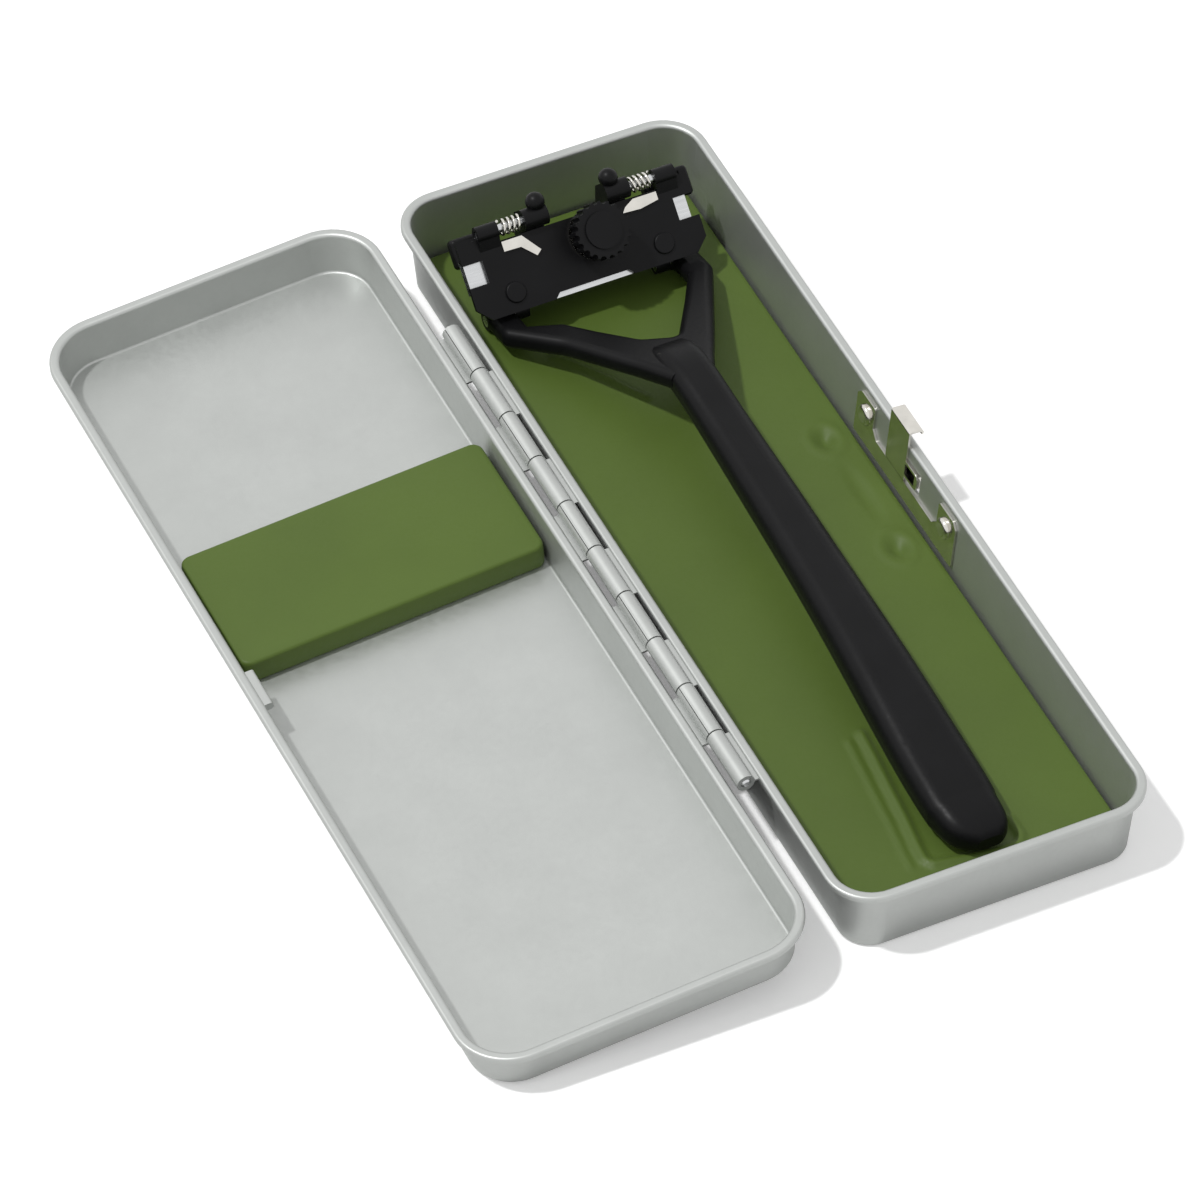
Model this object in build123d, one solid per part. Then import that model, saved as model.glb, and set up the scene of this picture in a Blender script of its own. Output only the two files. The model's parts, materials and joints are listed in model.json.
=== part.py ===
from build123d import *
import math
import os

# A flat tin travel case for a razor, lying open, with the razor in it.
# Millimetres. The origin is the middle of the tray's underside, +X points to
# the latch side, +Y towards the razor's head, +Z up. The lid lies open on -X.

# Tin plate and its turned rims
tin = 0.4
floor_bend = 0.9
wall_lean = 5.0
rim_width = 1.4
rim_bend = 0.3
rim_edge_bend = 0.1
lip_drop = 1.1
tray_length = 184.0
tray_width = 58.8
tray_height = 15.0
tray_corner = 8.4
lid_end_overhang = 1.8
lid_front_overhang = 4.0
lid_depth = 8.9
closed_gap = 0.15

# Hinge of rolled knuckles on one pin
knuckle_count = 10
knuckle_pitch = 11.8
knuckle_gap = 0.3
barrel_radius = 1.65
pin_radius = 0.85
pin_clearance = 0.05
axis_beyond_rim = 2.4
axis_below_rim = 0.5
leaf_set_back = 0.35
seam_width = 0.15
seam_angle = 48.0
pin_end_overhang = 0.3

# Silicone mat in the tray and silicone block in the lid
mat_thickness = 2.2
mat_clearance = 0.3
mat_edge_round = 0.5
cradle_height = 0.9
cradle_floor = 0.6
cradle_width = 1.6
cradle_half_width = 9.6
cradle_reach = 28.0
cradle_end_clearance = 1.2
cradle_end_flat = 0.2
pad_length_y = 28.0
pad_middle_y = 23.0
pad_thickness = 5.0
pad_clearance = 0.3
pad_edge_round = 1.0
pad_corner = 2.0

# Latch: a spring plate riveted inside the front wall
latch_sheet = 0.4
latch_gap = 0.05
latch_middle_y = -1.2
latch_half_length = 18.7
latch_bottom = 3.6
ear_top = 13.4
ear_width = 6.4
ear_bevel = 1.2
plate_corner = 0.4
strip_top = 7.3
strip_slope = 1.6
rivet_inset = 3.6
rivet_height = 9.8
rivet_radius = 0.9
rivet_head_radius = 2.0
rivet_head_height = 0.9
rivet_head_round = 0.8
rivet_tail_radius = 1.5
rivet_tail_height = 0.4
rivet_tail_round = 0.25
rivet_clearance = 0.03
tongue_middle_y = 2.4
tongue_width = 6.9
tongue_foot_gap = 0.1
tongue_top = 18.6
hook_reach = 2.4
hook_drop = 0.6
hook_bend = 0.15
button_middle_y = -0.2
button_width = 10.6
button_height = 3.4
button_middle = 10.2
button_proud = 1.5
button_wall = 0.5
button_round = 1.1
button_clearance = 0.5
catch_middle_y = 1.0
catch_width = 8.4
catch_height = 1.5
catch_below_hook = 0.5
catch_depth = 1.8
catch_round = 0.5

# Razor handle: y, x and z of the section's middle, width, thickness
handle_sections = [
    (-81.2, 2.8, 5.9, 4.6, 2.4),
    (-80.6, 2.6, 6.1, 6.8, 3.6),
    (-79.4, 2.25, 6.35, 9.3, 4.9),
    (-77.0, 1.75, 6.7, 11.4, 6.2),
    (-73.0, 1.4, 7.1, 12.7, 7.0),
    (-66.0, 1.3, 7.9, 12.9, 7.5),
    (-52.0, 1.3, 9.5, 12.3, 7.9),
    (-34.0, 1.6, 10.9, 11.1, 8.0),
    (-12.0, 1.95, 11.7, 9.8, 7.6),
    (8.0, 2.1, 12.3, 9.0, 7.2),
    (24.0, 2.05, 13.1, 8.5, 6.6),
    (34.0, 1.8, 13.6, 8.4, 6.0),
]
handle_nose = (41.5, 1.5, 11.6, 7.4, 3.5)
handle_section_round = 0.42
handle_end_sections = 5

# Fork: across and up the slope from where the handle ends, each with its bend
fork_thickness = 3.8
fork_edge_round = 1.5
fork_left = [(-7.6, 3.9, 8), (-15.4, 18.0, 8)]
fork_left_inner = [(-12.4, 24.0, 3), (-8.4, 18.2, 6), (-3.2, 11.4, 4)]
fork_right_inner = [(2.4, 8.6, 1.5), (8.6, 19.2, 8)]
fork_right = [(13.4, 17.2, 8), (9.1, 7.7, 8), (5.7, 0.6, 6)]
fork_eye_bend = 2.0
fork_stem_overlap = 3.0
fork_eye_straight = 8.0
fork_eye_radius = 1.8
fork_eye_width = 5.0
fork_eye_gap = 0.4

# Razor head, in its own slanted frame: x across, p up the slope, n outwards
head_middle_x = -0.8
head_foot_y = 62.5
head_foot_z = 7.0
head_slant = 43.0
pivot_p = 2.2
pivot_n = -5.3
pivot_pin_radius = 1.1
pivot_clearance = 0.05
cheek_width = 2.6
cheek_radius = 1.6
cheek_root = 1.0
end_ear_half = 23.0
end_ear_low = 12.2
end_ear_high = 17.6
end_ear_back = -5.2
end_ear_drop = 0.15
end_ear_round = 0.8
block_half = 15.0
block_low = 3.3
block_high = 14.5
block_back = -8.3
block_round = 2.2
blade_count = 3
blade_edge_half = 18.7
blade_tab_half = 21.5
blade_shift = -1.3
blade_low = 2.1
blade_step = 0.35
blade_tab_low = 4.4
blade_width = 10.6
blade_thickness = 0.25
spacer_thickness = 0.65
spacer_half = 16.5
spacer_inset = 1.6
spacer_back_inset = 0.5
stud_slot_clearance = 0.35
slot_overrun = 1.0
cover_thickness = 0.8
cover_gap = 0.05
cover_low = 2.0
cover_high = 14.9
cover_end_overhang = 0.8
cover_shift = -0.85
cover_corner = 2.4
cover_notch_half = 6.7
cover_notch_depth = 1.0
cover_window_low = 8.4
cover_window_high = 12.5
cover_window_depth = 3.8
cover_ear_top = 16.9
cover_hole_radius = 2.1
boss_x = 14.4
boss_p = 5.4
boss_radius = 1.9
boss_height = 0.5
boss_round = 0.3
knob_x = 1.6
knob_p = 11.0
knob_radius = 5.15
knob_height = 3.8
knob_top_radius = 3.35
knob_top_height = 0.5
knob_neck_radius = 3.0
knob_neck_height = 1.95
knob_flutes = 20
knob_flute_radius = 0.55
stud_radius = 1.25
stud_clearance = 0.05
stud_end_clearance = 0.2
stud_foot = -4.5
stud_top = 6.4
washer_radius = 4.6
washer_thickness = 0.5
washer_gap = 0.05
bar_p = 17.0
bar_n = 1.0
bar_radius = 0.75
bar_start = 5.9
bar_end = 19.0
bar_clearance = 0.05
lug_start = 5.6
lug_end = 10.2
lug_radius = 1.9
lug_root = 1.0
lug_foot = 13.5
lug_back = -5.5
ball_x = 7.1
ball_radius = 1.75
ball_p = 19.5
ball_n = 1.9
ball_neck_radius = 1.1
coil_start = 10.6
coil_length = 4.3
coil_wire = 0.5
coil_radius = 1.3
coil_turns = 4
ear_knuckle_start = 15.2
ear_knuckle_end = 19.2
ear_knuckle_radius = 1.5
ear_web_root = 1.0
spring_plate_thickness = 0.45
spring_plate_left = [(-15.1, 14.6), (-15.1, 12.8), (-11.9, 12.7), (-9.5, 10.4), (-8.5, 11.2), (-11.2, 14.6)]
spring_plate_right = [(7.9, 12.7), (8.6, 13.6), (10.4, 14.6), (14.9, 14.6), (14.9, 13.1), (11.3, 12.5)]

os.makedirs("parts", exist_ok=True)


def save(name, shape):
    """Write one node's solids to its own file."""
    shape.label = name
    export_step(shape, f"parts/{name}.step")


def slab(x0, x1, y0, y1, z0, z1):
    """A box between two corners."""
    return Pos((x0 + x1) / 2, (y0 + y1) / 2, (z0 + z1) / 2) * Box(x1 - x0, y1 - y0, z1 - z0)


def rod(x0, x1, y, z, radius):
    """A round bar along X."""
    return Pos((x0 + x1) / 2, y, z) * Rot(0, 90, 0) * Cylinder(radius, x1 - x0)


def ribbon(points, thickness, bends):
    """A bent strip's section from its middle line and the inside radius of each bend."""
    lines = []
    for side in (1, -1):
        corners = []
        radii = []
        for index, point in enumerate(points):
            here = Vector(*point)
            ways = []
            if index > 0:
                ways.append((here - Vector(*points[index - 1])).normalized())
            if index < len(points) - 1:
                ways.append((Vector(*points[index + 1]) - here).normalized())
            across = sum((Vector(-way.Y, way.X) for way in ways), Vector(0, 0)).normalized()
            reach = thickness / 2 / across.dot(Vector(-ways[0].Y, ways[0].X))
            corners.append(here + across * reach * side)
            if len(ways) == 2:
                inside = ways[0].cross(ways[1]).Z * side > 0
                radii.append(bends[index - 1] + (0 if inside else thickness))
        lines.append(FilletPolyline(*corners, radius=radii))
    ends = [Line(lines[0] @ end, lines[1] @ end) for end in (0, 1)]
    return make_face([*lines, *ends])


def inset_at(below_rim):
    """How far in the wall's outer face lies from the rim's edge, at a depth below the rim."""
    return rim_width + below_rim * math.tan(math.radians(wall_lean))


def pan(width, length, corner, height):
    """A pressed tin pan: flat floor, leaning walls, a narrow rim turned outwards and down."""
    half_wall = tin / 2 / math.cos(math.radians(wall_lean))
    foot = inset_at(height - tin / 2) + half_wall
    middle_line = [
        (-foot - 2 * floor_bend, tin / 2), (-foot, tin / 2), (-inset_at(tin / 2) - half_wall, height - tin / 2),
        (-tin / 2, height - tin / 2), (-tin / 2, height - lip_drop),
    ]
    strip = ribbon(middle_line, tin, [floor_bend - tin, rim_bend, rim_edge_bend])
    section = Plane((width / 2, 0, 0), x_dir=(1, 0, 0), z_dir=(0, -1, 0)) * strip
    straight_x = width / 2 - corner
    straight_y = length / 2 - corner
    side = extrude(section, amount=straight_y, both=True)
    bend = revolve(
        Pos(0, straight_y, 0) * section,
        axis=Axis((straight_x, straight_y, 0), (0, 0, 1)), revolution_arc=90,
    )
    end_section = Plane((0, length / 2, 0), x_dir=(0, 1, 0), z_dir=(1, 0, 0)) * strip
    end = extrude(end_section, amount=straight_x, both=True)
    flat_inset = foot + floor_bend
    flat = extrude(
        RectangleRounded(width - 2 * flat_inset, length - 2 * flat_inset, corner - flat_inset), amount=tin
    )
    walls = side + mirror(side, Plane.YZ) + end + mirror(end, Plane.XZ)
    corners = bend + mirror(bend, Plane.YZ)
    corners += mirror(corners, Plane.XZ)
    return walls + corners + flat


# The hinge line and the lid's place over the tray
hinge_x = -tray_width / 2 - axis_beyond_rim
hinge_z = tray_height - axis_below_rim
bore_radius = pin_radius + pin_clearance
hinge_half_length = knuckle_count * knuckle_pitch / 2
lid_width = tray_width + lid_front_overhang
lid_length = tray_length + 2 * lid_end_overhang
lid_corner = tray_corner + lid_end_overhang
lid_middle_x = lid_front_overhang / 2
lid_rim_z = tray_height + closed_gap
lid_top_z = lid_rim_z + lid_depth

# The open lid comes to rest on its far bottom edge
far_wall = lid_middle_x + lid_width / 2 - inset_at(lid_depth - floor_bend)
far_reach = far_wall - floor_bend / math.cos(math.radians(wall_lean)) - hinge_x
far_drop = lid_top_z - floor_bend - hinge_z
open_past = math.degrees(
    math.asin((hinge_z - floor_bend) / math.hypot(far_reach, far_drop)) - math.atan2(far_drop, far_reach)
)
hinge_line = Axis((hinge_x, 0, hinge_z), (0, 1, 0))


def opened(shape):
    """Swing a piece of the closed lid to where the lid lies open."""
    return shape.rotate(hinge_line, -(180 + open_past))


def knuckles(first, web_z, seam_sign):
    """Every second rolled knuckle, each with the web that carries it."""
    parts = []
    web_end = hinge_x + axis_beyond_rim + tin
    for index in range(first, knuckle_count, 2):
        middle = hinge_half_length - (index + 0.5) * knuckle_pitch
        long = knuckle_pitch - knuckle_gap
        barrel = Pos(hinge_x, middle, hinge_z) * Rot(90, 0, 0) * Cylinder(barrel_radius, long)
        web = slab(hinge_x, web_end, middle - long / 2, middle + long / 2, web_z, web_z + tin)
        seam = Rot(0, -seam_sign * seam_angle, 0) * slab(
            pin_radius, barrel_radius + tin, -long, long, -seam_width / 2, seam_width / 2
        )
        bore = Pos(hinge_x, middle, hinge_z) * Rot(90, 0, 0) * Cylinder(bore_radius, long + 1)
        parts.append(barrel + web - bore - Pos(hinge_x, middle, hinge_z) * seam)
    return parts


def build_tray():
    """The deep half of the tin, with five of the knuckles."""
    shell = pan(tray_width, tray_length, tray_corner, tray_height)
    for knuckle in knuckles(1, tray_height - tin - leaf_set_back, 1):
        shell += knuckle
    half = button_width / 2 + button_clearance
    low = button_middle - button_height / 2 - button_clearance
    high = button_middle + button_height / 2 + button_clearance
    shell -= leaned(slab(wall_in - tin, wall_out + tin, button_middle_y - half, button_middle_y + half, low, high))
    for y in rivet_places:
        shell -= leaned(rod(wall_in - tin, wall_out + tin, y, rivet_height, rivet_radius + rivet_clearance))
    return shell


def build_lid():
    """The shallow half, modelled closed over the tray and then laid open."""
    shell = Pos(lid_middle_x, 0, lid_top_z) * Rot(180, 0, 0) * pan(lid_width, lid_length, lid_corner, lid_depth)
    for knuckle in knuckles(0, lid_rim_z + leaf_set_back, -1):
        shell += knuckle
    rim_out = lid_middle_x + lid_width / 2
    high = tongue_top - latch_sheet - hook_drop - catch_below_hook
    low = high - catch_height

    def wall_at(z):
        return rim_out - inset_at(z - lid_rim_z) - tin / 2

    inner = wall_at(low) - catch_depth
    face = make_face(Polyline((inner, low), (wall_at(low), low), (wall_at(high), high), (inner, high), close=True))
    place = Plane((0, catch_middle_y, 0), x_dir=(1, 0, 0), z_dir=(0, -1, 0))
    bump = extrude(place * face, amount=catch_width / 2, both=True)
    bump = fillet(bump.edges().filter_by(Axis.Y).group_by(Axis.X)[0], catch_round)
    dent_half = catch_width / 2 - tin
    dent = slab(
        inner + tin, rim_out - tin, catch_middle_y - dent_half, catch_middle_y + dent_half, low + tin, high - tin
    )
    return opened(shell + bump - dent)


def build_hinge_pin():
    """One wire through all the knuckles, its ends slightly domed."""
    pin = Cylinder(pin_radius, 2 * hinge_half_length - knuckle_gap + 2 * pin_end_overhang)
    pin = chamfer(pin.edges().filter_by(GeomType.CIRCLE), pin_end_overhang)
    return Pos(hinge_x, 0, hinge_z) * Rot(90, 0, 0) * pin


# Latch, modelled upright and then leaned to the front wall's slope
wall_out = tray_width / 2 - inset_at(tray_height - rivet_height)
wall_in = wall_out - tin
latch_out = wall_in - latch_gap
latch_in = latch_out - latch_sheet
rivet_places = [
    latch_middle_y + latch_half_length - rivet_inset,
    latch_middle_y - latch_half_length + rivet_inset,
]


def leaned(shape):
    """Lean an upright piece of the latch to the wall's slope."""
    return shape.rotate(Axis((wall_out, 0, rivet_height), (0, 1, 0)), wall_lean)


def build_latch_plate():
    """A strip with two ears, cut out between them round the tongue."""
    half = latch_half_length
    ear_in = half - ear_width
    outline = Polyline(
        (-half, latch_bottom), (half, latch_bottom), (half, ear_top - ear_bevel), (half - ear_bevel, ear_top),
        (ear_in, ear_top), (ear_in, strip_top + strip_slope), (ear_in - strip_slope, strip_top),
        (-ear_in + strip_slope, strip_top), (-ear_in, strip_top + strip_slope), (-ear_in, ear_top),
        (-half + ear_bevel, ear_top), (-half, ear_top - ear_bevel), close=True,
    )
    face = make_face(outline)
    face = fillet(face.vertices(), plate_corner)
    plate = extrude(
        Plane((latch_in, latch_middle_y, 0), x_dir=(0, 1, 0), z_dir=(1, 0, 0)) * face, amount=latch_sheet
    )
    for y in rivet_places:
        plate -= rod(latch_in - tin, latch_out + tin, y, rivet_height, rivet_radius + rivet_clearance)
    return leaned(plate)


def build_latch_tongue():
    """The sprung tongue with its hook and the hollow button that it carries."""
    middle = (latch_in + latch_out) / 2
    high = tongue_top - latch_sheet / 2
    hook_x = middle + hook_reach
    line = [
        (middle, strip_top + tongue_foot_gap), (middle, high), (hook_x, high),
        (hook_x, high - latch_sheet / 2 - hook_drop),
    ]
    face = ribbon(line, latch_sheet, [hook_bend, hook_bend])
    place = Plane((0, tongue_middle_y, 0), x_dir=(1, 0, 0), z_dir=(0, -1, 0))
    tongue = extrude(place * face, amount=tongue_width / 2, both=True)
    y0 = button_middle_y - button_width / 2
    y1 = button_middle_y + button_width / 2
    z0 = button_middle - button_height / 2
    z1 = button_middle + button_height / 2
    button_out = wall_out + button_proud
    button = slab(latch_in, button_out, y0, y1, z0, z1)
    button = fillet(button.edges().filter_by(Axis.X), button_round)
    button = fillet(button.faces().sort_by(Axis.X)[-1].edges(), button_wall)
    button -= slab(
        latch_in - tin, button_out - button_wall, y0 + 2 * button_wall, y1 - 2 * button_wall,
        z0 + button_wall, z1 - button_wall,
    )
    return leaned(tongue + button)


def build_latch_rivets():
    """Two domed rivets through the plate and the front wall."""
    rivets = []
    for y in rivet_places:
        shank = rod(latch_in - rivet_head_height / 2, wall_out + rivet_tail_height / 2, y, rivet_height, rivet_radius)
        head = rod(latch_in - rivet_head_height, latch_in, y, rivet_height, rivet_head_radius)
        head = fillet(head.faces().sort_by(Axis.X)[0].edges(), rivet_head_round)
        tail = rod(wall_out, wall_out + rivet_tail_height, y, rivet_height, rivet_tail_radius)
        tail = fillet(tail.faces().sort_by(Axis.X)[-1].edges(), rivet_tail_round)
        rivets.append(shank + head + tail)
    return Compound(children=[leaned(rivet) for rivet in rivets])


# Silicone pieces
def build_tray_mat():
    """The flat silicone mat, with a low ridge round the handle's end."""
    inset = inset_at(tray_height) + tin + mat_clearance
    width = tray_width - 2 * inset
    length = tray_length - 2 * inset
    corner = tray_corner - inset
    mat = extrude(RectangleRounded(width, length, corner), amount=mat_thickness)
    mat = chamfer(mat.faces().sort_by(Axis.Z)[0].edges(), floor_bend - tin)
    mat = fillet(mat.faces().sort_by(Axis.Z)[-1].edges(), mat_edge_round)
    end_y, end_x = handle_sections[0][0], handle_sections[0][1]
    foot = end_y - cradle_end_clearance - cradle_width
    place = Pos(end_x, foot + cradle_reach)
    inner_half = cradle_half_width
    inner_round = inner_half - cradle_end_flat / 2
    ridge = place * (
        RectangleRounded(2 * (inner_half + cradle_width), 2 * cradle_reach, inner_round + cradle_width)
        - RectangleRounded(2 * inner_half, 2 * (cradle_reach - cradle_width), inner_round)
    )
    cut = Pos(end_x, foot + 1.5 * cradle_reach) * Rectangle(3 * inner_half, cradle_reach)
    ridge = extrude(ridge - cut, amount=cradle_height + mat_edge_round)
    ridge = fillet(ridge.faces().sort_by(Axis.Z)[-1].edges(), cradle_height / 2)
    floor = place * RectangleRounded(2 * inner_half, 2 * (cradle_reach - cradle_width), inner_round)
    floor = extrude(floor - cut, amount=cradle_floor + mat_edge_round)
    return Pos(0, 0, tin) * (mat + Pos(0, 0, mat_thickness - mat_edge_round) * (ridge + floor))


def build_lid_pad():
    """The silicone block that presses on the handle when the lid is shut."""
    width = lid_width - 2 * (inset_at(lid_depth) + tin + pad_clearance)
    pad = Box(width, pad_length_y, pad_thickness)
    pad = fillet(pad.edges().filter_by(Axis.Z), pad_corner)
    pad = fillet(pad.faces().sort_by(Axis.Z)[0].edges(), pad_edge_round)
    pad = fillet(pad.faces().sort_by(Axis.Z)[-1].edges(), floor_bend - tin)
    pad = Pos(lid_middle_x, pad_middle_y, lid_top_z - tin - pad_thickness / 2) * pad
    return opened(pad)


# Razor
head_frame = Plane(
    (head_middle_x, head_foot_y, head_foot_z), x_dir=(1, 0, 0),
    z_dir=(0, -math.sin(math.radians(head_slant)), math.cos(math.radians(head_slant))),
)
pivot_point = head_frame.from_local_coords(Vector(0, pivot_p, pivot_n))
eye_in = block_half + fork_eye_gap
eye_out = eye_in + fork_eye_width
fork_root = (handle_sections[-1][1], handle_sections[-1][0], handle_sections[-1][2])
fork_drop = math.degrees(math.atan2(fork_root[2] - pivot_point.Z, pivot_point.Y - fork_root[1]))
fork_reach = math.hypot(fork_root[2] - pivot_point.Z, pivot_point.Y - fork_root[1])


def smooth_face(points):
    """A flat face drawn through points, each with the radius of its corner."""
    face = make_face(Polyline(*[(x, y) for x, y, bend in points], close=True))
    for x, y, bend in points:
        if bend:
            face = fillet(face.vertices().sort_by_distance(Vector(x, y, 0))[0], bend)
    return face


def build_handle():
    """The handle and its fork in one piece."""
    sections = []
    for y, x, z, width, thick in (*handle_sections, handle_nose):
        place = Plane((x, y, z), x_dir=(1, 0, 0), z_dir=(0, 1, 0))
        sections.append(place * RectangleRounded(width, thick, thick * handle_section_round))
    grip = loft(sections[:handle_end_sections]) + loft(sections[handle_end_sections - 1:])
    left = head_middle_x - fork_root[0]
    stem = handle_sections[-1][3] / 2
    bend = fork_reach - fork_eye_straight
    points = [
        (-stem, -fork_stem_overlap, 0), *fork_left, (left - eye_out, bend, fork_eye_bend),
        (left - eye_out, fork_reach, 0), (left - eye_in, fork_reach, 0), (left - eye_in, bend, 0),
        *fork_left_inner, *fork_right_inner, (left + eye_in, bend, 0), (left + eye_in, fork_reach, 0),
        (left + eye_out, fork_reach, 0), (left + eye_out, bend, fork_eye_bend), *fork_right,
        (stem, -fork_stem_overlap, 0),
    ]
    fork = extrude(smooth_face(points), amount=fork_thickness / 2, both=True)
    keep = fork.edges().filter_by(
        lambda e: abs(e.center().Z) > fork_thickness / 2 - 0.01 and e.center().Y > 0.01 - fork_stem_overlap
    )
    fork = fillet(keep, fork_edge_round)
    slope = math.radians(fork_drop)
    place = Plane(fork_root, x_dir=(1, 0, 0), z_dir=(0, math.sin(slope), math.cos(slope)))
    whole = grip + place * fork
    for side in (-1, 1):
        x0, x1 = sorted((head_middle_x + side * eye_in, head_middle_x + side * eye_out))
        whole += rod(x0, x1, pivot_point.Y, pivot_point.Z, fork_eye_radius)
    for side in (-1, 1):
        x0, x1 = sorted((head_middle_x + side * eye_in, head_middle_x + side * eye_out))
        whole -= rod(x0 - 1, x1 + 1, pivot_point.Y, pivot_point.Z, pivot_pin_radius + pivot_clearance)
    return whole


# The head's stack of blades, from its face inwards
blade_pitch = blade_thickness + spacer_thickness
stack_foot = -(blade_count - 1) * blade_pitch - blade_thickness
cover_top = cover_gap + cover_thickness
cover_half = blade_tab_half + cover_end_overhang
washer_low = cover_top + washer_gap
knob_low = washer_low + washer_thickness + washer_gap
ring_low = knob_low + knob_neck_height
ring_high = ring_low + knob_height


def section_x(x0, x1, face):
    """Extrude a face drawn in p and n along the head's x."""
    return extrude(Plane((x0, 0, 0), x_dir=(0, 1, 0), z_dir=(1, 0, 0)) * face, amount=x1 - x0)


def sides(start, end):
    """The two mirrored spans from start to end along the head's x."""
    return ((-end, -start), (start, end))


def barrel(x0, x1, radius):
    """A round bar on the cover's hinge line."""
    return rod(x0, x1, bar_p, bar_n, radius)


def slot_for_stud(low, thick_low, thick_high):
    """The opening from the stud up to a blade's broken edge."""
    half = stud_radius + stud_slot_clearance
    hole = Pos(knob_x, knob_p, (thick_low + thick_high) / 2) * Cylinder(half, thick_high - thick_low)
    return hole + slab(knob_x - half, knob_x + half, knob_p, low, thick_low, thick_high)


def build_head_block():
    """The head's body with its pivot cheeks and the lugs of the cover's hinge."""
    block = slab(-block_half, block_half, block_low, block_high, block_back, stack_foot)
    block = fillet(block.edges().filter_by(Axis.X).group_by(Axis.Z)[0], block_round)
    cheek = make_face(Polyline(
        (pivot_p, pivot_n - cheek_radius), (pivot_p, pivot_n + cheek_radius),
        (block_low + cheek_root, pivot_n + cheek_radius), (block_low + cheek_root, pivot_n - cheek_radius),
        close=True,
    )) + Pos(pivot_p, pivot_n) * Circle(cheek_radius)
    lug = make_face(Polyline(
        (lug_foot, lug_back), (lug_foot, stack_foot), (bar_p - lug_radius, stack_foot), (bar_p - lug_radius, bar_n),
        (bar_p + lug_radius, bar_n), (bar_p + lug_radius, -lug_radius), (block_high + lug_root, lug_back), close=True,
    )) + Pos(bar_p, bar_n) * Circle(lug_radius)
    for x0, x1 in sides(block_half - cheek_width, block_half):
        block += section_x(x0, x1, cheek)
    for x0, x1 in sides(lug_start, lug_end):
        block += section_x(x0, x1, lug)
    for x0, x1 in sides(block_half - end_ear_round, end_ear_half):
        ear = slab(x0, x1, end_ear_low, end_ear_high, end_ear_back, stack_foot - end_ear_drop)
        block += fillet(ear.edges(), end_ear_round)
    for x0, x1 in sides(block_half - cheek_width, block_half):
        block -= rod(x0 - 1, x1 + 1, pivot_p, pivot_n, pivot_pin_radius)
    for x0, x1 in sides(bar_start, lug_end):
        block -= barrel(x0, x1 + 1, bar_radius)
    for x in (-ball_x, ball_x):
        block -= ball_stud(x)
    block -= stud_shape()
    return block


def ball_neck(x):
    """The neck of a ball stud, from the lug to the ball's middle."""
    way = Vector(0, ball_p - bar_p, ball_n - bar_n)
    foot = (bar_radius + lug_radius) / 2
    start = Vector(x, bar_p, bar_n) + way.normalized() * foot
    length = way.length - foot
    return Plane(start, x_dir=(1, 0, 0), z_dir=way) * Pos(0, 0, length / 2) * Cylinder(ball_neck_radius, length)


def ball_stud(x):
    """A ball on its neck."""
    return ball_neck(x) + Pos(x, ball_p, ball_n) * Sphere(ball_radius)


def build_ball_studs():
    """Two ball studs, one on each lug."""
    return Compound(children=[ball_stud(x) for x in (-ball_x, ball_x)])


def stud_shape():
    """The threaded stud, set in the block."""
    return Pos(knob_x, knob_p, (stud_foot + stud_top) / 2) * Cylinder(stud_radius, stud_top - stud_foot)


def build_blades():
    """Half blades with their end tabs, one on another, each open round the stud."""
    blades = []
    for index in range(blade_count):
        low = blade_low + index * blade_step
        foot = -index * blade_pitch - blade_thickness
        high = low + blade_width
        blade = slab(-blade_edge_half, blade_edge_half, low, high, foot, foot + blade_thickness)
        blade += slab(-blade_tab_half, blade_tab_half, low + blade_tab_low, high, foot, foot + blade_thickness)
        blade = Pos(blade_shift, 0, 0) * blade
        blade -= slot_for_stud(high + slot_overrun, foot, foot + blade_thickness)
        blades.append(blade)
    return Compound(children=blades)


def build_spacers():
    """Thin plates that keep the blades apart."""
    spacers = []
    for index in range(blade_count - 1):
        low = blade_low + index * blade_step + spacer_inset
        high = blade_low + blade_width - spacer_back_inset
        foot = -(index + 1) * blade_pitch
        spacer = slab(-spacer_half, spacer_half, low, high, foot, foot + spacer_thickness)
        spacers.append(spacer - slot_for_stud(high + slot_overrun, foot, foot + spacer_thickness))
    return Compound(children=spacers)


def build_cover():
    """The hinged clamp plate that holds the blades down."""
    window_x = cover_half - cover_window_depth
    half = [
        (cover_notch_half, cover_low + cover_notch_depth), (cover_notch_half + cover_notch_depth, cover_low),
        (cover_half - cover_corner, cover_low), (cover_half, cover_low + cover_corner), (cover_half, cover_window_low),
        (window_x, cover_window_low), (window_x, cover_window_high), (cover_half, cover_window_high),
        (cover_half, cover_ear_top),
    ]
    back = [(ear_knuckle_end, cover_ear_top), (ear_knuckle_end, cover_high)]
    outline = [(cover_shift + x, p) for x, p in half] + back
    outline += [(-x, p) for x, p in reversed(back)] + [(cover_shift - x, p) for x, p in reversed(half)]
    cover = Pos(0, 0, cover_gap) * extrude(make_face(Polyline(*outline, close=True)), amount=cover_thickness)
    for x in (-boss_x, boss_x):
        boss = Pos(cover_shift + x, boss_p, cover_top + boss_height / 2) * Cylinder(boss_radius, boss_height)
        cover += fillet(boss.faces().sort_by(Axis.Z)[-1].edges(), boss_round)
    web_foot = cover_high - ear_web_root
    web = make_face(Polyline(
        (web_foot, cover_gap), (web_foot, cover_top), (bar_p, bar_n + ear_knuckle_radius),
        (bar_p, bar_n - ear_knuckle_radius), close=True,
    )) + Pos(bar_p, bar_n) * Circle(ear_knuckle_radius)
    for x0, x1 in sides(ear_knuckle_start, ear_knuckle_end):
        cover += section_x(x0, x1, web)
    for x0, x1 in sides(ear_knuckle_start, ear_knuckle_end):
        cover -= barrel(x0 - 1, x1 + 1, bar_radius + bar_clearance)
    return cover - Pos(knob_x, knob_p, cover_top) * Cylinder(cover_hole_radius, 4 * cover_thickness)


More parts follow.
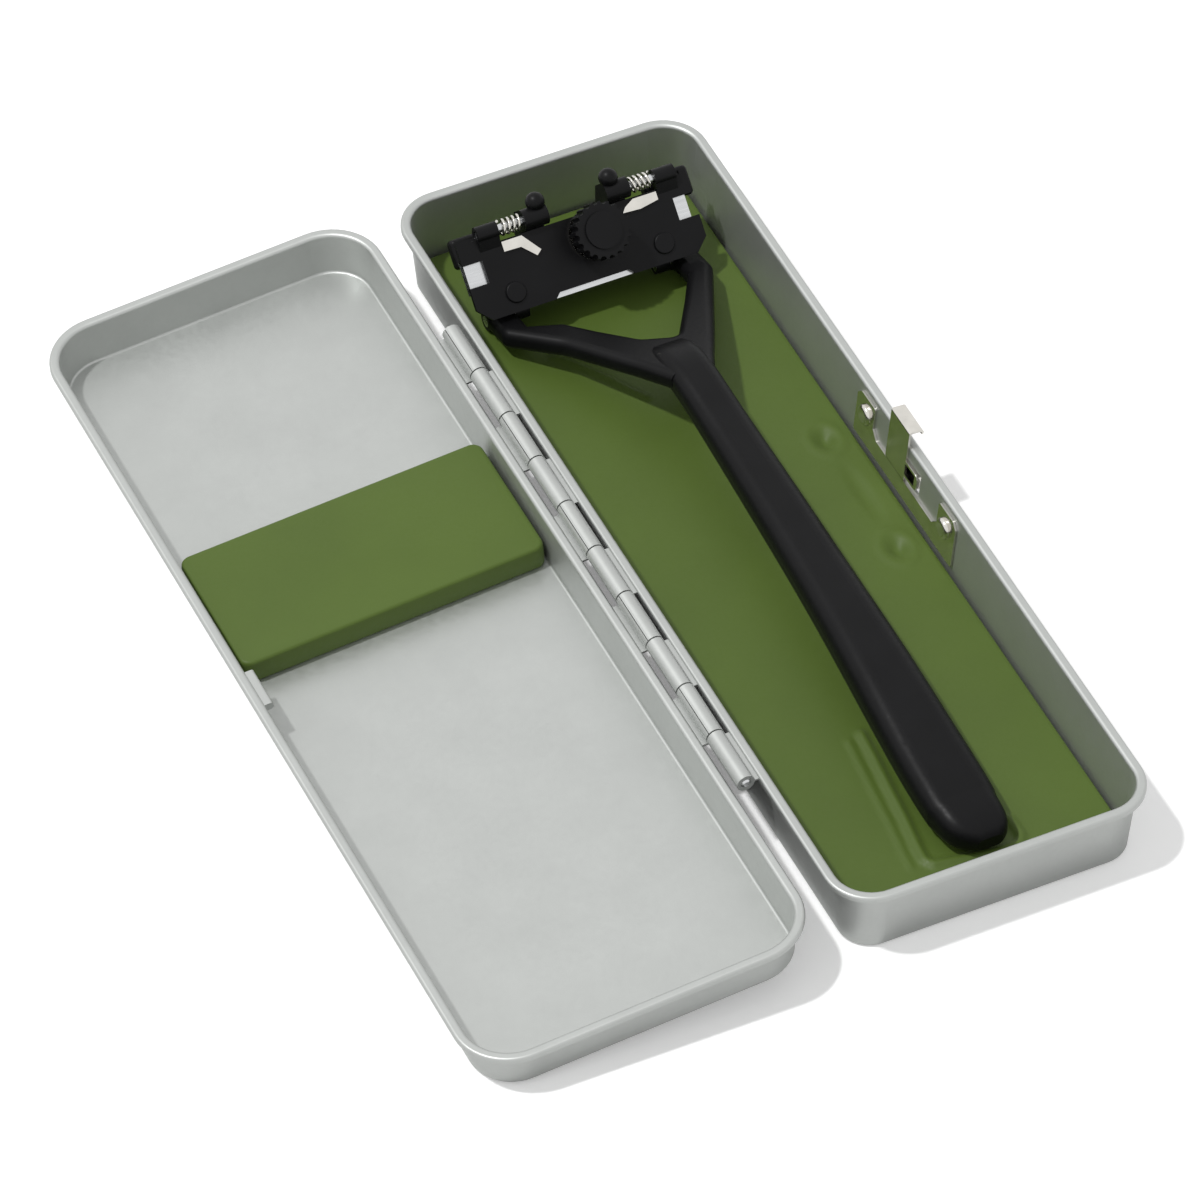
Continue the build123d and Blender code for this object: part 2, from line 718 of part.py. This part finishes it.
def build_hinge_pins():
    """The two short pins of the cover's hinge."""
    return Compound(children=[barrel(x0, x1, bar_radius) for x0, x1 in sides(bar_start, bar_end)])


def coil(start_x):
    """A spring wound round the cover's hinge pin, one half turn at a time."""
    length = coil_length - coil_wire
    first = start_x + coil_wire / 2

    def at(turn):
        angle = 2 * math.pi * turn
        return (
            first + length * turn / coil_turns, bar_p + coil_radius * math.cos(angle),
            bar_n + coil_radius * math.sin(angle),
        )

    arcs = [ThreePointArc(at(i / 2), at(i / 2 + 0.25), at(i / 2 + 0.5)) for i in range(2 * coil_turns)]
    path = Wire(arcs)
    print("coil gap", round(length / coil_turns - coil_wire, 3))
    return sweep(Plane(path @ 0, z_dir=path % 0) * Circle(coil_wire / 2), path=path)


def build_springs():
    """The two springs that lift the cover when the knob is let go."""
    return Compound(children=[coil(coil_start), mirror(coil(coil_start), Plane.YZ)])


def build_spring_plates():
    """Bright angled plates on the cover, one under each spring."""
    plates = []
    for outline in (spring_plate_left, spring_plate_right):
        face = make_face(Polyline(*outline, close=True))
        plates.append(Pos(0, 0, cover_top) * extrude(face, amount=spring_plate_thickness))
    return Compound(children=plates)


def build_pivot_pins():
    """The pins on which the head tilts, fixed in its cheeks."""
    spans = sides(block_half - cheek_width, eye_out)
    return Compound(children=[rod(x0, x1, pivot_p, pivot_n, pivot_pin_radius) for x0, x1 in spans])


def build_washer():
    """The bright washer between the knob and the cover."""
    ring = Cylinder(washer_radius, washer_thickness) - Cylinder(stud_radius + stud_clearance, washer_thickness)
    return Pos(knob_x, knob_p, washer_low + washer_thickness / 2) * ring


def build_knob():
    """The fluted thumb nut on the stud."""
    ring = Circle(knob_radius)
    for index in range(knob_flutes):
        ring -= Rot(0, 0, 360 * index / knob_flutes) * Pos(knob_radius, 0) * Circle(knob_flute_radius)
    knob = Pos(0, 0, ring_low) * extrude(ring, amount=knob_height)
    knob += Pos(0, 0, ring_high) * extrude(Circle(knob_top_radius), amount=knob_top_height)
    knob += Pos(0, 0, knob_low) * extrude(Circle(knob_neck_radius), amount=knob_neck_height)
    bore = extrude(Circle(stud_radius + stud_clearance), amount=stud_top - knob_low + stud_end_clearance)
    knob -= Pos(0, 0, knob_low) * bore
    return Pos(knob_x, knob_p, 0) * knob


for name, build in (
    ("tray_shell", build_tray),
    ("lid_shell", build_lid),
    ("hinge_pin", build_hinge_pin),
    ("latch_plate", build_latch_plate),
    ("latch_tongue", build_latch_tongue),
    ("latch_rivets", build_latch_rivets),
    ("tray_mat", build_tray_mat),
    ("lid_pad", build_lid_pad),
    ("razor_handle", build_handle),
):
    save(name, build())
for name, build in (
    ("head_block", build_head_block),
    ("pivot_pins", build_pivot_pins),
    ("blades", build_blades),
    ("blade_spacers", build_spacers),
    ("clamp_cover", build_cover),
    ("cover_hinge_pins", build_hinge_pins),
    ("cover_springs", build_springs),
    ("spring_plates", build_spring_plates),
    ("ball_studs", build_ball_studs),
    ("clamp_stud", stud_shape),
    ("clamp_washer", build_washer),
    ("clamp_knob", build_knob),
):
    made = build()
    placed = [head_frame * solid for solid in made.solids()]
    save(name, placed[0] if len(placed) == 1 else Compound(children=placed))
print("open past flat", round(open_past, 3), "pivot", pivot_point, "reach", round(fork_reach, 2))
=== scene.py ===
import json
import math

import bmesh
import bpy
from bpy.props import FloatProperty, FloatVectorProperty, IntProperty, PointerProperty
from mathutils import Matrix, Vector


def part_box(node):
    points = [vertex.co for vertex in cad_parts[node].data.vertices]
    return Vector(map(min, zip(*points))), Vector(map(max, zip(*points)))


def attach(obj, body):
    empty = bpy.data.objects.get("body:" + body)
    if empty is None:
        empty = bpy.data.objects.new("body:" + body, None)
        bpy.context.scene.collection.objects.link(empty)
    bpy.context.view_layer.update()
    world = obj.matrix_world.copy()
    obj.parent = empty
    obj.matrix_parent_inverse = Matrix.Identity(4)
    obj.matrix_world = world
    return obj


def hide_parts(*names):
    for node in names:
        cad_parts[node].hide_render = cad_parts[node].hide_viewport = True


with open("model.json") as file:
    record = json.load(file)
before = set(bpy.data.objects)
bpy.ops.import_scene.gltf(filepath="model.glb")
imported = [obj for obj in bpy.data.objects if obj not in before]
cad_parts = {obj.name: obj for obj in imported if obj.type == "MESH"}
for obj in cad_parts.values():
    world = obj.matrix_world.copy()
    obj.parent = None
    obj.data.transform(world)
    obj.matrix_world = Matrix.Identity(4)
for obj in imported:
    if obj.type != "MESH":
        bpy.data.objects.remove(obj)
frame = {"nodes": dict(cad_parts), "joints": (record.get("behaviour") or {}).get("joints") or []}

bl_info = {
    "name": "Razor Travel Case",
    "version": (1, 0, 0),
    "blender": (4, 5, 0),
    "location": "View3D > Sidebar > Razor Case",
    "description": "Dresses a tin travel case with its silicone mat and pad, its latch and the razor in it",
    "category": "Add Mesh",
}

NODES = frame["nodes"]
JOINTS = {joint["name"]: joint for joint in frame["joints"]}
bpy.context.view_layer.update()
MM = 0.001
WHITE = (1.0, 1.0, 1.0, 1.0)

# The hinge line, and how far the lid swings from shut to where it lies.
HINGE = Vector(JOINTS["lid_hinge"]["pos_m"])
OPEN_ANGLE = math.radians(JOINTS["lid_hinge"]["range_deg"][0])

# Relief on the mat, in millimetres. A ridge is its crest line, height and half width.
# A hollow is its middle, half axes, depth and the height of the rim round it.
RIDGES = (
    (
        (
            (-4.4, -47.4), (-4.9, -53.5), (-5.7, -60.7), (-6.4, -67.8), (-7.3, -74.4), (-7.6, -77.4),
            (-6.6, -79.0), (-1.9, -79.9), (4.0, -80.8), (8.6, -80.9), (9.6, -79.4), (9.5, -75.3),
        ), 0.8, 1.3,
    ),
    (((-7.1, -48.0), (-7.7, -54.0), (-8.5, -61.2), (-9.2, -68.3), (-10.1, -74.9), (-10.4, -78.0)), 0.3, 0.9),
    (((-13.3, 56.6), (-11.1, 54.2), (-8.8, 50.9), (-6.6, 47.4), (-4.6, 43.4), (-2.6, 40.3)), 0.6, 1.0),
)
HOLLOWS = (
    ((20.9, 17.9), (2.2, 3.0), 1.1, 0.3),
    ((20.7, -10.9), (2.2, 3.0), 1.1, 0.3),
    ((21.2, 3.2), (2.2, 10.0), 0.5, 0.0),
)

# Where a hollow's rim has its crest, and its half width, as parts of the half axes.
RIM_CREST = 1.35
RIM_HALF = 0.5

# The camera's place in metres, and the directions of its view and of the main light.
CAMERA_PLACE = (-0.4950, -0.9821, 1.1471)
CAMERA_FORWARD = (0.2941, 0.6223, -0.7254)
CAMERA_RIGHT = (0.9043, -0.4268, 0.0004)
LIGHT_FROM = (-0.42, 0.12, 0.9)


class CaseColours(bpy.types.PropertyGroup):
    """Colours of the case's finishes"""

    tin: FloatVectorProperty(
        name="Tin", description="Colour of the satin tin plate", subtype="COLOR", size=3,
        min=0.0, max=1.0, default=(0.50, 0.515, 0.50),
    )
    silicone: FloatVectorProperty(
        name="Silicone", description="Colour of the mat and the lid's pad", subtype="COLOR", size=3,
        min=0.0, max=1.0, default=(0.082, 0.132, 0.018),
    )
    coating: FloatVectorProperty(
        name="Black coating", description="Colour of the razor's coating", subtype="COLOR", size=3,
        min=0.0, max=1.0, default=(0.004, 0.004, 0.0045),
    )
    nickel: FloatVectorProperty(
        name="Nickel", description="Colour of the latch and the razor's bright parts", subtype="COLOR",
        size=3, min=0.0, max=1.0, default=(0.72, 0.70, 0.65),
    )
    steel: FloatVectorProperty(
        name="Steel", description="Colour of blades, pins and spacers", subtype="COLOR", size=3,
        min=0.0, max=1.0, default=(0.66, 0.67, 0.68),
    )


class CaseSizes(bpy.types.PropertyGroup):
    """Sizes of the soft pieces"""

    mat_corner: FloatProperty(
        name="Mat corner", description="Radius of the mat's corners", unit="LENGTH",
        default=5.0 * MM, min=1 * MM,
    )
    mat_cell: FloatProperty(
        name="Mat cell", description="Spacing of the mat's surface points", unit="LENGTH",
        default=0.6 * MM, min=0.3 * MM,
    )
    mat_round: FloatProperty(
        name="Mat edge", description="Rounding of the mat's upper edge", unit="LENGTH",
        default=0.5 * MM, min=0.1 * MM,
    )
    foot_slope: FloatProperty(
        name="Foot slope", description="Slope along the edge on the tin, of mat and pad", unit="LENGTH",
        default=0.5 * MM, min=0.1 * MM,
    )
    ridge_height: FloatProperty(
        name="Ridge height", description="Room for the ridge round the razor's end", unit="LENGTH",
        default=0.9 * MM, min=0.1 * MM,
    )
    pad_corner: FloatProperty(
        name="Pad corner", description="Radius of the pad's corners", unit="LENGTH",
        default=2.0 * MM, min=0.5 * MM,
    )
    pad_round: FloatProperty(
        name="Pad edge", description="Rounding of the pad's edges", unit="LENGTH",
        default=0.7 * MM, min=0.1 * MM,
    )


class StageSettings(bpy.types.PropertyGroup):
    """Floor, lights and camera"""

    floor_size: FloatProperty(
        name="Floor size", description="Edge length of the floor", unit="LENGTH",
        default=8.0, min=1.0,
    )
    lens: FloatProperty(
        name="Lens", description="Focal length of the camera", unit="CAMERA",
        default=276.4, min=20.0,
    )
    key_strength: FloatProperty(
        name="Key light", description="Strength of the main light", default=1.7, min=0.0,
    )
    key_spread: FloatProperty(
        name="Key spread", description="Apparent size of the main light", subtype="ANGLE",
        default=math.radians(3.0), min=0.0,
    )
    sky_strength: FloatProperty(
        name="Sky", description="Strength of the even light all round", default=0.55, min=0.0,
    )
    sky_seen: FloatProperty(
        name="Sky seen", description="Strength at which the background is seen", default=0.95, min=0.0,
    )


def settings():
    """The scene's own settings."""
    scene = bpy.context.scene
    return scene.case_colours, scene.case_sizes, scene.case_stage


def mesh_piece(name, bm, smooth=True):
    """Turn a finished bmesh into a piece at the origin."""
    mesh = bpy.data.meshes.new(name)
    bm.to_mesh(mesh)
    bm.free()
    if smooth:
        mesh.shade_smooth()
    piece = bpy.data.objects.new(name, mesh)
    bpy.context.scene.collection.objects.link(piece)
    return piece


def dress(piece, body, material, slot, *nodes):
    """Give a piece its material and its body, and say which nodes it stands for."""
    piece.data.materials.clear()
    piece.data.materials.append(material)
    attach(piece, body)
    if nodes:
        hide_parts(*nodes)
    return piece


def round_edges(bm, edges, offset, segments):
    """Bevel some edges to a round."""
    return bmesh.ops.bevel(
        bm, geom=list(edges), offset=offset, offset_type="OFFSET", segments=segments, profile=0.5,
        affect="EDGES", material=-1, clamp_overlap=True,
    )


def block(bm, low, high):
    """A box between two corners, as its vertices."""
    low, high = Vector(low), Vector(high)
    made = bmesh.ops.create_cube(bm, size=1.0)["verts"]
    bmesh.ops.scale(bm, vec=high - low, verts=made)
    bmesh.ops.translate(bm, vec=(high + low) / 2, verts=made)
    return made


def edges_of(verts):
    """The edges between some vertices."""
    chosen = set(verts)
    touching = {edge for vert in verts for edge in vert.link_edges}
    return [edge for edge in touching if all(end in chosen for end in edge.verts)]


def upright(edges):
    """The edges among some that run along Z."""
    return [e for e in edges if (e.verts[0].co - e.verts[1].co).xy.length < 1e-7]


def level_at(edges, z):
    """The edges among some that lie at one height."""
    return [e for e in edges if all(abs(v.co.z - z) < 1e-7 for v in e.verts)]


def open_out(bm):
    """Swing a piece modelled in the shut lid to where the lid lies open."""
    bmesh.ops.rotate(bm, cent=HINGE, matrix=Matrix.Rotation(OPEN_ANGLE, 3, "Y"), verts=bm.verts[:])


def box_when_shut(name):
    """The box of one of the lid's CAD nodes, swung back to where the lid is shut."""
    back = Matrix.Translation(HINGE) @ Matrix.Rotation(-OPEN_ANGLE, 4, "Y") @ Matrix.Translation(-HINGE)
    place = back @ NODES[name].matrix_world
    points = [place @ vert.co for vert in NODES[name].data.vertices]
    return Vector(map(min, *points)), Vector(map(max, *points))


def dome(ratio):
    """A soft bump's height for a distance given as a part of its half width."""
    return (1.0 - ratio * ratio) ** 2 if ratio < 1.0 else 0.0


def off_line(point, start, end):
    """The distance of a point from a stretch of line."""
    along = end - start
    part = max(0.0, min(1.0, (point - start).dot(along) / along.length_squared))
    return (point - start - along * part).length


def mat_relief(point):
    """How far the mat's top stands out at a point, in millimetres."""
    rise = 0.0
    for line, height, half in RIDGES:
        off = min(off_line(point, Vector(start), Vector(end)) for start, end in zip(line, line[1:]))
        rise = max(rise, height * dome(off / half))
    for middle, axes, depth, rim in HOLLOWS:
        off = math.hypot((point.x - middle[0]) / axes[0], (point.y - middle[1]) / axes[1])
        rise += rim * dome(abs(off - RIM_CREST) / RIM_HALF) - depth * dome(off)
    return rise


def node(tree, kind, **values):
    """Add a shader node and set its properties."""
    made = tree.nodes.new(kind)
    for name, value in values.items():
        setattr(made, name, value)
    return made


def start_material(name):
    """A new material with one Principled shader, and its coordinates."""
    material = bpy.data.materials.new(name)
    material.use_nodes = True
    tree = material.node_tree
    shader = tree.nodes["Principled BSDF"]
    place = node(tree, "ShaderNodeTexCoord")
    return material, tree, shader, place.outputs["Object"]


def noise(tree, place, lumps, detail, fineness, stretch=(1.0, 1.0, 1.0)):
    """A noise texture on the piece's own coordinates, given in lumps per metre."""
    mapping = node(tree, "ShaderNodeMapping")
    mapping.inputs["Scale"].default_value = stretch
    tree.links.new(place, mapping.inputs["Vector"])
    texture = node(tree, "ShaderNodeTexNoise")
    texture.inputs["Scale"].default_value = lumps
    texture.inputs["Detail"].default_value = detail
    texture.inputs["Roughness"].default_value = fineness
    tree.links.new(mapping.outputs["Vector"], texture.inputs["Vector"])
    return texture.outputs["Fac"]


def spread(tree, value, low, high):
    """Map the middle of a noise's range to a range of numbers."""
    change = node(tree, "ShaderNodeMapRange")
    change.inputs["From Min"].default_value = 0.3
    change.inputs["From Max"].default_value = 0.7
    change.inputs["To Min"].default_value = low
    change.inputs["To Max"].default_value = high
    tree.links.new(value, change.inputs["Value"])
    return change.outputs["Result"]


def tint(tree, shader, value, colour, darkest, lightest):
    """Let a noise make the base colour a little darker and lighter."""
    mix = node(tree, "ShaderNodeMix", data_type="RGBA")
    for socket, factor in (("A_Color", darkest), ("B_Color", lightest)):
        shade = [min(1.0, part * factor) for part in colour]
        next(put for put in mix.inputs if put.identifier == socket).default_value = (*shade, 1.0)
    tree.links.new(spread(tree, value, 0.0, 1.0), mix.inputs[0])
    result = next(put for put in mix.outputs if put.identifier == "Result_Color")
    tree.links.new(result, shader.inputs["Base Color"])


def gloss(tree, shader, value, smoothest, roughest):
    """Let a noise change the roughness within a range."""
    tree.links.new(spread(tree, value, smoothest, roughest), shader.inputs["Roughness"])


def bump(tree, shader, height, distance, strength):
    """Raise the surface by a height value."""
    made = node(tree, "ShaderNodeBump")
    made.inputs["Distance"].default_value = distance
    made.inputs["Strength"].default_value = strength
    tree.links.new(height, made.inputs["Height"])
    tree.links.new(made.outputs["Normal"], shader.inputs["Normal"])


def tin_plate():
    """Satin tin plate, faintly clouded, with a fine grain."""
    material, tree, shader, place = start_material("tin_plate")
    shader.inputs["Metallic"].default_value = 0.82
    cloud = noise(tree, place, lumps=90.0, detail=5.0, fineness=0.6)
    grain = noise(tree, place, lumps=900.0, detail=3.0, fineness=0.6)
    dents = noise(tree, place, lumps=420.0, detail=4.0, fineness=0.6)
    tint(tree, shader, cloud, settings()[0].tin, darkest=0.97, lightest=1.03)
    gloss(tree, shader, grain, smoothest=0.44, roughest=0.52)
    bump(tree, shader, dents, distance=0.02 * MM, strength=0.3)
    return material


def silicone_rubber():
    """Dense matte silicone, made once for both pieces."""
    made = bpy.data.materials.get("silicone_rubber")
    if made:
        return made
    material, tree, shader, place = start_material("silicone_rubber")
    shader.inputs["Specular IOR Level"].default_value = 0.34
    shader.inputs["Sheen Weight"].default_value = 0.04
    shader.inputs["Sheen Roughness"].default_value = 0.5
    cloud = noise(tree, place, lumps=35.0, detail=4.0, fineness=0.55)
    grain = noise(tree, place, lumps=1400.0, detail=3.0, fineness=0.6)
    tint(tree, shader, cloud, settings()[0].silicone, darkest=0.93, lightest=1.06)
    gloss(tree, shader, grain, smoothest=0.46, roughest=0.58)
    bump(tree, shader, grain, distance=0.02 * MM, strength=0.4)
    return material


def black_coating():
    """Satin black coating with a fine cast grain under it."""
    material, tree, shader, place = start_material("black_coating")
    shader.inputs["Specular IOR Level"].default_value = 0.16
    cloud = noise(tree, place, lumps=120.0, detail=4.0, fineness=0.55)
    grain = noise(tree, place, lumps=1800.0, detail=3.0, fineness=0.6)
    tint(tree, shader, cloud, settings()[0].coating, darkest=0.8, lightest=1.3)
    gloss(tree, shader, grain, smoothest=0.36, roughest=0.46)
    bump(tree, shader, grain, distance=0.015 * MM, strength=0.3)
    return material


def bright_nickel():
    """Bright nickel plate with faint polishing marks."""
    material, tree, shader, place = start_material("bright_nickel")
    shader.inputs["Metallic"].default_value = 1.0
    cloud = noise(tree, place, lumps=300.0, detail=3.0, fineness=0.5)
    marks = noise(tree, place, lumps=900.0, detail=3.0, fineness=0.6)
    waves = noise(tree, place, lumps=500.0, detail=2.0, fineness=0.5)
    tint(tree, shader, cloud, settings()[0].nickel, darkest=0.93, lightest=1.06)
    gloss(tree, shader, marks, smoothest=0.12, roughest=0.22)
    bump(tree, shader, waves, distance=0.01 * MM, strength=0.25)
    return material


def plain_steel():
    """Ground steel with fine lines along its length."""
    material, tree, shader, place = start_material("plain_steel")
    shader.inputs["Metallic"].default_value = 1.0
    lines = noise(tree, place, lumps=2500.0, detail=3.0, fineness=0.6, stretch=(0.05, 1.0, 1.0))
    tint(tree, shader, lines, settings()[0].steel, darkest=0.9, lightest=1.08)
    gloss(tree, shader, lines, smoothest=0.18, roughest=0.3)
    return material


def finish_node(name, material):
    """Give a CAD node its material."""
    mesh = NODES[name].data
    mesh.materials.clear()
    mesh.materials.append(material)


class CASE_OT_stage(bpy.types.Operator):
    """Set the floor, the soft lights and the camera"""

    bl_idname = "case.stage"
    bl_label = "Set the Stage"

    def execute(self, context):
        stage = settings()[2]
        context.scene.view_settings.view_transform = "Standard"
        self.lay_paper(stage)
        self.hang_sky(context.scene, stage)
        self.hang_lamp(context.scene, stage)
        self.place_camera(context.scene, stage)
        return {"FINISHED"}

    def lay_paper(self, stage):
        """The white paper under the case, which the camera sees a little brighter."""
        bm = bmesh.new()
        bmesh.ops.create_grid(bm, x_segments=1, y_segments=1, size=stage.floor_size / 2)
        floor = mesh_piece("stage_floor", bm, smooth=False)
        material, tree, shader, place = start_material("stage_paper")
        shader.inputs["Base Color"].default_value = (0.93, 0.93, 0.93, 1.0)
        shader.inputs["Roughness"].default_value = 0.9
        shader.inputs["Specular IOR Level"].default_value = 0.1
        shader.inputs["Emission Color"].default_value = WHITE
        path = node(tree, "ShaderNodeLightPath")
        lift = node(tree, "ShaderNodeMath", operation="MULTIPLY")
        lift.inputs[1].default_value = 0.25
        tree.links.new(path.outputs["Is Camera Ray"], lift.inputs[0])
        tree.links.new(lift.outputs[0], shader.inputs["Emission Strength"])
        floor.data.materials.append(material)

    def hang_sky(self, scene, stage):
        """Even light all round, seen brighter by the camera and in the metal."""
        world = bpy.data.worlds.new("stage_sky")
        world.use_nodes = True
        tree = world.node_tree
        sky = tree.nodes["Background"]
        path = node(tree, "ShaderNodeLightPath")
        seen = node(tree, "ShaderNodeMath", operation="MAXIMUM")
        tree.links.new(path.outputs["Is Camera Ray"], seen.inputs[0])
        tree.links.new(path.outputs["Is Glossy Ray"], seen.inputs[1])
        level = node(tree, "ShaderNodeMapRange")
        level.inputs["To Min"].default_value = stage.sky_strength
        level.inputs["To Max"].default_value = stage.sky_seen
        tree.links.new(seen.outputs[0], level.inputs["Value"])
        sky.inputs["Color"].default_value = WHITE
        tree.links.new(level.outputs["Result"], sky.inputs["Strength"])
        scene.world = world

    def hang_lamp(self, scene, stage):
        """The main light, from the hinge side and high."""
        lamp = bpy.data.lights.new("key_light", "SUN")
        lamp.energy = stage.key_strength
        lamp.angle = stage.key_spread
        key = bpy.data.objects.new("key_light", lamp)
        key.rotation_euler = Vector(LIGHT_FROM).to_track_quat("Z", "Y").to_euler()
        scene.collection.objects.link(key)

    def place_camera(self, scene, stage):
        """The camera, standing where the photo was taken."""
        camera = bpy.data.objects.new("camera", bpy.data.cameras.new("camera"))
        camera.data.lens = stage.lens
        camera.data.sensor_width = 36.0
        camera.data.clip_end = 50.0
        camera.location = CAMERA_PLACE
        forward = Vector(CAMERA_FORWARD).normalized()
        right = Vector(CAMERA_RIGHT)
        right = (right - forward * right.dot(forward)).normalized()
        up = right.cross(forward)
        camera.rotation_euler = Matrix((right, up, -forward)).transposed().to_euler()
        scene.collection.objects.link(camera)
        scene.camera = camera


class CASE_OT_finishes(bpy.types.Operator):
    """Give the tin, the latch and the razor their finishes"""

    bl_idname = "case.finishes"
    bl_label = "Finish the Metal"

    def execute(self, context):
        finishes = (
            (tin_plate, ("tray_shell", "lid_shell")),
            (bright_nickel, (
                "latch_plate", "latch_tongue", "latch_rivets",
                "cover_springs", "spring_plates", "clamp_washer",
            )),
            (plain_steel, (
                "hinge_pin", "pivot_pins", "blades", "blade_spacers", "cover_hinge_pins", "clamp_stud",
            )),
            (black_coating, ("razor_handle", "head_block", "clamp_cover", "ball_studs", "clamp_knob")),
        )
        for make, names in finishes:
            material = make()
            for name in names:
                finish_node(name, material)
        return {"FINISHED"}


class CASE_OT_mat(bpy.types.Operator):
    """Lay the silicone mat in the tray, with its ridge round the razor's end"""

    bl_idname = "case.mat"
    bl_label = "Lay the Mat"

    def execute(self, context):
        sizes = settings()[1]
        low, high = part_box("tray_mat")
        top = high.z - sizes.ridge_height
        middle = (low + high).xy / 2
        half = (high - low).xy / 2 - Vector((sizes.mat_round, sizes.mat_round))
        corner = sizes.mat_corner - sizes.mat_round
        core = half - Vector((corner, corner))
        bm = bmesh.new()
        cells = [math.ceil(2 * part / sizes.mat_cell) for part in half]
        bmesh.ops.create_grid(bm, x_segments=cells[0], y_segments=cells[1], size=1.0)
        for vert in bm.verts:
            spot = self.rounded(Vector((vert.co.x * half.x, vert.co.y * half.y)), core) + middle
            vert.co = (*spot, top + mat_relief(spot / MM) * MM)
        self.skirt(bm, middle, core, self.profile(sizes, low.z, top))
        bmesh.ops.recalc_face_normals(bm, faces=bm.faces[:])
        piece = mesh_piece("mat", bm)
        dress(piece, "tray", silicone_rubber(), "silicone", "tray_mat")
        return {"FINISHED"}

    def rounded(self, spot, core):
        """Draw a point past the straight sides in to the round corner."""
        past = Vector((max(0.0, abs(spot.x) - core.x), max(0.0, abs(spot.y) - core.y)))
        if past.x and past.y:
            past *= max(past) / past.length
            spot = Vector((math.copysign(core.x + past.x, spot.x), math.copysign(core.y + past.y, spot.y)))
        return spot

    def profile(self, sizes, foot, top):
        """How far out and how high the side goes, from the top's edge to the floor."""
        turns = [math.radians(degrees) for degrees in (30, 60, 90)]
        side = [
            (math.sin(turn) * sizes.mat_round, top - (1 - math.cos(turn)) * sizes.mat_round) for turn in turns
        ]
        side.append((sizes.mat_round, foot + sizes.foot_slope))
        side.append((sizes.mat_round - sizes.foot_slope, foot))
        return side

    def skirt(self, bm, middle, core, side):
        """Draw the grid's border down along the side's profile and close the underside."""
        ring = [edge for edge in bm.edges if edge.is_boundary]
        out = 0.0
        for reach, level in side:
            drawn = bmesh.ops.extrude_edge_only(bm, edges=ring)["geom"]
            ring = [part for part in drawn if isinstance(part, bmesh.types.BMEdge) and part.is_boundary]
            for vert in {end for edge in ring for end in edge.verts}:
                spot = vert.co.xy - middle
                inner = Vector((max(-core.x, min(core.x, spot.x)), max(-core.y, min(core.y, spot.y))))
                spot += (spot - inner).normalized() * (reach - out)
                vert.co = (*(spot + middle), level)
            out = reach
        bmesh.ops.contextual_create(bm, geom=ring)


class CASE_OT_pad(bpy.types.Operator):
    """Fix the silicone block across the lid"""

    bl_idname = "case.pad"
    bl_label = "Fix the Pad"

    def execute(self, context):
        sizes = settings()[1]
        bm = bmesh.new()
        low, high = box_when_shut("lid_pad")
        made = block(bm, low, high)
        round_edges(bm, upright(edges_of(made)), sizes.pad_corner, 6)
        round_edges(bm, level_at(bm.edges, low.z), sizes.pad_round, 4)
        round_edges(bm, level_at(bm.edges, high.z), sizes.foot_slope, 2)
        open_out(bm)
        piece = mesh_piece("pad", bm)
        dress(piece, "lid", silicone_rubber(), "silicone", "lid_pad")
        return {"FINISHED"}


class CASE_PT_panel(bpy.types.Panel):
    """Settings and steps of the travel case"""

    bl_label = "Razor Case"
    bl_idname = "CASE_PT_panel"
    bl_space_type = "VIEW_3D"
    bl_region_type = "UI"
    bl_category = "Razor Case"

    def draw(self, context):
        layout = self.layout
        for group in settings():
            for name in group.bl_rna.properties.keys():
                if name not in ("rna_type", "name"):
                    layout.prop(group, name)
        for step in STEPS:
            layout.operator(step.bl_idname)


GROUPS = (CaseColours, CaseSizes, StageSettings)
STEPS = (CASE_OT_stage, CASE_OT_finishes, CASE_OT_mat, CASE_OT_pad)


def register():
    for made in (*GROUPS, *STEPS, CASE_PT_panel):
        bpy.utils.register_class(made)
    bpy.types.Scene.case_colours = PointerProperty(type=CaseColours)
    bpy.types.Scene.case_sizes = PointerProperty(type=CaseSizes)
    bpy.types.Scene.case_stage = PointerProperty(type=StageSettings)


def unregister():
    del bpy.types.Scene.case_colours
    del bpy.types.Scene.case_sizes
    del bpy.types.Scene.case_stage
    for made in reversed((*GROUPS, *STEPS, CASE_PT_panel)):
        bpy.utils.unregister_class(made)


def main():
    """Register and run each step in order."""
    register()
    bpy.ops.case.stage()
    bpy.ops.case.finishes()
    bpy.ops.case.mat()
    bpy.ops.case.pad()


if __name__ == "__main__":
    main()
